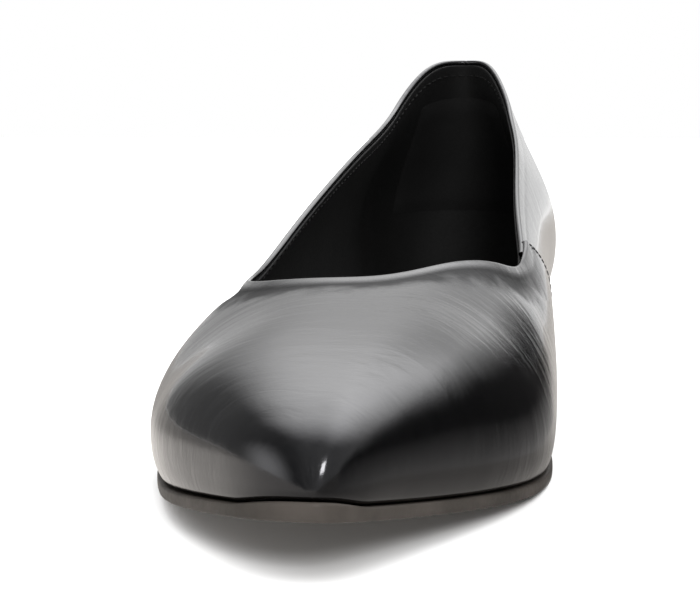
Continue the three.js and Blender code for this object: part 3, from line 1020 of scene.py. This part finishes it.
def plain_look(name, dark, light, roughness, grain_scale, depth, specular):
    """A material with a little cloudiness and a grain."""
    look = Look(name)
    clouds = look.noise(look.place((CLOUD_SCALE,) * 3), 4.0)
    grain = look.noise(look.place((grain_scale,) * 3), 4.0, 0.65)
    look.feed("Base Color", look.mixed(look.ranged(clouds, *NOISE_RANGE, 0, 1), dark, light))
    ends = (roughness - ROUGHNESS_SPREAD, roughness + ROUGHNESS_SPREAD)
    look.feed("Roughness", look.ranged(grain, *NOISE_RANGE, *ends))
    look.bumps((clouds, CLOUD_STRENGTH, CLOUD_DEPTH), (grain, PLAIN_GRAIN_STRENGTH, depth))
    look.set(Specular_IOR_Level=specular)
    return look.material


THREAD_TWIST_SCALE = 900
THREAD_DEPTH = 0.05 * MM
THREAD_DARK = (0.002, 0.002, 0.002)
THREAD_LIGHT = (0.006, 0.006, 0.006)


def thread_look():
    look = Look("black_thread")
    twist = look.node("ShaderNodeTexWave", {"Vector": look.place((THREAD_TWIST_SCALE,) * 3), "Scale": 1.0})
    look.feed("Base Color", look.mixed(twist.outputs["Fac"], THREAD_DARK, THREAD_LIGHT))
    look.bumps((twist.outputs["Fac"], PLAIN_GRAIN_STRENGTH, THREAD_DEPTH))
    look.set(Roughness=0.7, Specular_IOR_Level=0.25)
    return look.material


def make_looks():
    looks = {"upper": upper_look()}
    for key, row in PLAIN_LOOKS.items():
        looks[key] = plain_look(*row)
    looks["thread"] = thread_look()
    return looks


def build_shoe():
    looks = make_looks()
    vamp_grid, proud = add_vamp(looks["upper"])
    add_inner_quarter(looks["upper"])
    lining_grid = add_lining(looks["lining"])
    add_heel_grip(looks["grip"])
    add_collar_stitches(lining_grid, looks["thread"])
    add_seam_stitches(vamp_grid, proud, looks["thread"])
    add_bottoms(looks)


# Camera: its place from the heel's back in the last's own frame, its turn to the left and its tilt
CAMERA_PLACE = np.array([42.76, -522, 67.04]) * MM
CAMERA_TURN = 8.2
CAMERA_TILT = -5.7
CAMERA_LENS = 98
CAMERA_SENSOR = 36
CAMERA_NEAR = 0.02


def add_camera():
    data = bpy.data.cameras.new("camera")
    data.lens = CAMERA_LENS
    data.sensor_width = CAMERA_SENSOR
    data.clip_start = CAMERA_NEAR
    camera = bpy.data.objects.new("camera", data)
    camera.location = CAMERA_PLACE + SHIFT
    camera.rotation_euler = (math.radians(90 + CAMERA_TILT), 0, math.radians(CAMERA_TURN))
    bpy.context.scene.collection.objects.link(camera)
    bpy.context.scene.camera = camera


FLOOR_HALF = 4.0


def add_floor():
    mesh = bpy.data.meshes.new("floor")
    corners = [(-1, -1, 0), (1, -1, 0), (1, 1, 0), (-1, 1, 0)]
    mesh.from_pydata([(x * FLOOR_HALF, y * FLOOR_HALF, z) for x, y, z in corners], [], [(0, 1, 2, 3)])
    floor = bpy.data.objects.new("floor", mesh)
    look = Look("white_floor")
    look.set(Base_Color=(0.9, 0.9, 0.9, 1), Roughness=0.9)
    mesh.materials.append(look.material)
    bpy.context.scene.collection.objects.link(floor)


# What glossy surfaces mirror: a wide soft light overhead that leans to the back and the inner side and fades
# low at the back, a faint glow from the inner side, a low light at the outer front and a pale one straight
# behind. Each row has a strength and one or two edges, each with a direction and the shares of it where the
# light starts and would be full.
STUDIO_BASE = 0.22
STUDIO_LIGHTS = (
    (9.6, ((0.243, 0.490, 0.837), 0.575, 1.53), ((-0.172, -0.908, -0.381), -1.046, -0.882)),
    (0.36, ((0.984, 0.179, 0.000), -0.524, -0.171)),
    (6.7, ((-0.914, -0.381, 0.139), 0.769, 1.435)),
    (0.5, ((0.087, 0.996, 0.0), 0.93, 0.99)),
)

# What lights dull surfaces: a plain sky that leans to the back
SKY_BASE = 0.5
SKY_LEVEL = 2.6
SKY_FACING = ((-0.06, 0.30, 0.95), 0.2, 0.95)


def add_world():
    """White for the camera, the studio for reflections and the sky for all other light."""
    world = bpy.data.worlds.new("studio")
    world.use_nodes = True
    bpy.context.scene.world = world
    tree = world.node_tree

    def node(kind, *inputs, **settings):
        made = tree.nodes.new(kind)
        for key, value in settings.items():
            setattr(made, key, value)
        for slot, value in zip(made.inputs, inputs):
            if isinstance(value, bpy.types.NodeSocket):
                tree.links.new(value, slot)
            elif value is not None:
                slot.default_value = value
        return made.outputs

    place = node("ShaderNodeTexCoord")["Generated"]

    def facing_share(direction, start, full):
        facing = node("ShaderNodeVectorMath", place, direction, operation="DOT_PRODUCT")["Value"]
        return node("ShaderNodeMapRange", facing, start, full, interpolation_type="SMOOTHSTEP")["Result"]

    studio = STUDIO_BASE
    for strength, *edges in STUDIO_LIGHTS:
        light = strength
        for edge in edges:
            light = node("ShaderNodeMath", facing_share(*edge), light, operation="MULTIPLY")["Value"]
        studio = node("ShaderNodeMath", light, studio, operation="ADD")["Value"]
    share = facing_share(*SKY_FACING)
    sky = node("ShaderNodeMath", share, SKY_LEVEL, SKY_BASE, operation="MULTIPLY_ADD")["Value"]
    rays = node("ShaderNodeLightPath")
    lit = node("ShaderNodeMix", rays["Is Glossy Ray"], None, sky, studio, data_type="FLOAT")["Result"]
    shown = node("ShaderNodeMix", rays["Is Camera Ray"], None, lit, 1.0, data_type="FLOAT")["Result"]
    background = tree.nodes["Background"]
    background.inputs["Color"].default_value = (1, 1, 1, 1)
    tree.links.new(shown, background.inputs["Strength"])


# Cards that only reflections see. A dark flag stands beside the inner side, in rows of length, distance from
# the middle and height of its top, and fades between two shares of its height. The other card lies on the
# floor and sets how bright the floor is reflected: in front, behind, and where one gives way to the other.
# Each glow runs between two places, each with its strength: up the flag, and across the floor.
FLAG_ENDS = (
    (0.104, 0.042, 0.062), (0.135, 0.046, 0.066), (0.170, 0.048, 0.066), (0.205, 0.048, 0.050),
    (0.235, 0.046, 0.034), (0.262, 0.044, 0.022),
)
FLAG_FADE = (1.0, 0.5)
FLAG_FOOT = 0.001
FLAG_GLOW = ((0.0, 0.42), (0.018, 0.02))
GROUND_HALF = 2.0
GROUND_NEAR = ((-0.05, 1.1), (0.045, 0.32))
GROUND_FAR = ((-0.05, 0.5), (0.045, 0.8))
GROUND_CHANGE = (-0.05, 0.05)
FLAG_TINT = (1, 0.97, 0.95)
GROUND_TINT = (1, 0.95, 0.90)


def reflected_card(name, points, faces, level_of, tint, heights=None):
    """A glowing surface that is seen in reflections alone. Given shares of its height it fades at its top."""
    mesh = bpy.data.meshes.new(name)
    mesh.from_pydata(np.array(points).tolist(), [], faces)
    card = bpy.data.objects.new(name, mesh)
    look = Look(name)
    split = look.node("ShaderNodeSeparateXYZ", {"Vector": look.place((1, 1, 1))}).outputs
    look.set(Base_Color=(0, 0, 0, 1), Roughness=1, Specular_IOR_Level=0, Emission_Color=(*tint, 1))
    look.feed("Emission Strength", level_of(look, split))
    if heights is not None:
        layer = mesh.uv_layers.new(name="height")
        for loop, corner in zip(mesh.loops, layer.data):
            corner.uv = (heights[loop.vertex_index], 0)
        up = look.node("ShaderNodeSeparateXYZ", {"Vector": look.place((1, 1, 1), "height")}).outputs["X"]
        look.feed("Alpha", look.smooth_range(up, *FLAG_FADE))
    mesh.materials.append(look.material)
    card.visible_camera = False
    card.visible_diffuse = False
    card.visible_shadow = False
    bpy.context.scene.collection.objects.link(card)


def graded(look, value, ends):
    """A strength that runs between two places."""
    (low, at_low), (high, at_high) = ends
    return look.ranged(value, low, high, at_low, at_high)


def add_cards():
    points = []
    for length, across, top in FLAG_ENDS:
        points += [(across, -length, top), (across, -length, FLAG_FOOT)]
    faces = [(k, k + 1, k + 3, k + 2) for k in range(0, 2 * len(FLAG_ENDS) - 2, 2)]
    heights = [1, 0] * len(FLAG_ENDS)

    def flag_level(look, split):
        return graded(look, split["Z"], FLAG_GLOW)

    def ground_level(look, split):
        far = look.smooth_range(split["Y"], *GROUND_CHANGE)
        near = look.smooth_range(split["Y"], *reversed(GROUND_CHANGE))
        return look.sum(
            look.product(graded(look, split["X"], GROUND_FAR), far),
            look.product(graded(look, split["X"], GROUND_NEAR), near),
        )

    reflected_card("dark_flag", np.array(points) + SHIFT, faces, flag_level, FLAG_TINT, heights)
    corners = np.array([(x, y, 0) for x, y in ((-1, -1), (1, -1), (1, 1), (-1, 1))]) * GROUND_HALF
    reflected_card("ground_glow", corners + (0, 0, FLAG_FOOT), [(0, 1, 2, 3)], ground_level, GROUND_TINT)


# A small lamp in front, which glints on the toe
LAMP_PLACE = (0.27, -0.86, 0.46)
LAMP_AIM = (0.005, -0.13, 0.015)
LAMP_SIZE = 0.27
LAMP_RADIANCE = 20


def add_lamp():
    data = bpy.data.lights.new("front_lamp", "AREA")
    data.size = LAMP_SIZE
    data.energy = LAMP_RADIANCE * math.pi * LAMP_SIZE ** 2
    lamp = bpy.data.objects.new("front_lamp", data)
    lamp.location = LAMP_PLACE
    across, ahead, down = np.array(LAMP_AIM) - np.array(LAMP_PLACE)
    lamp.rotation_euler = (math.atan2(math.hypot(across, ahead), -down), 0, math.atan2(-across, ahead))
    lamp.visible_camera = False
    bpy.context.scene.collection.objects.link(lamp)


build_shoe()
add_camera()
add_floor()
add_cards()
add_lamp()
add_world()
bpy.context.scene.view_settings.view_transform = "Standard"
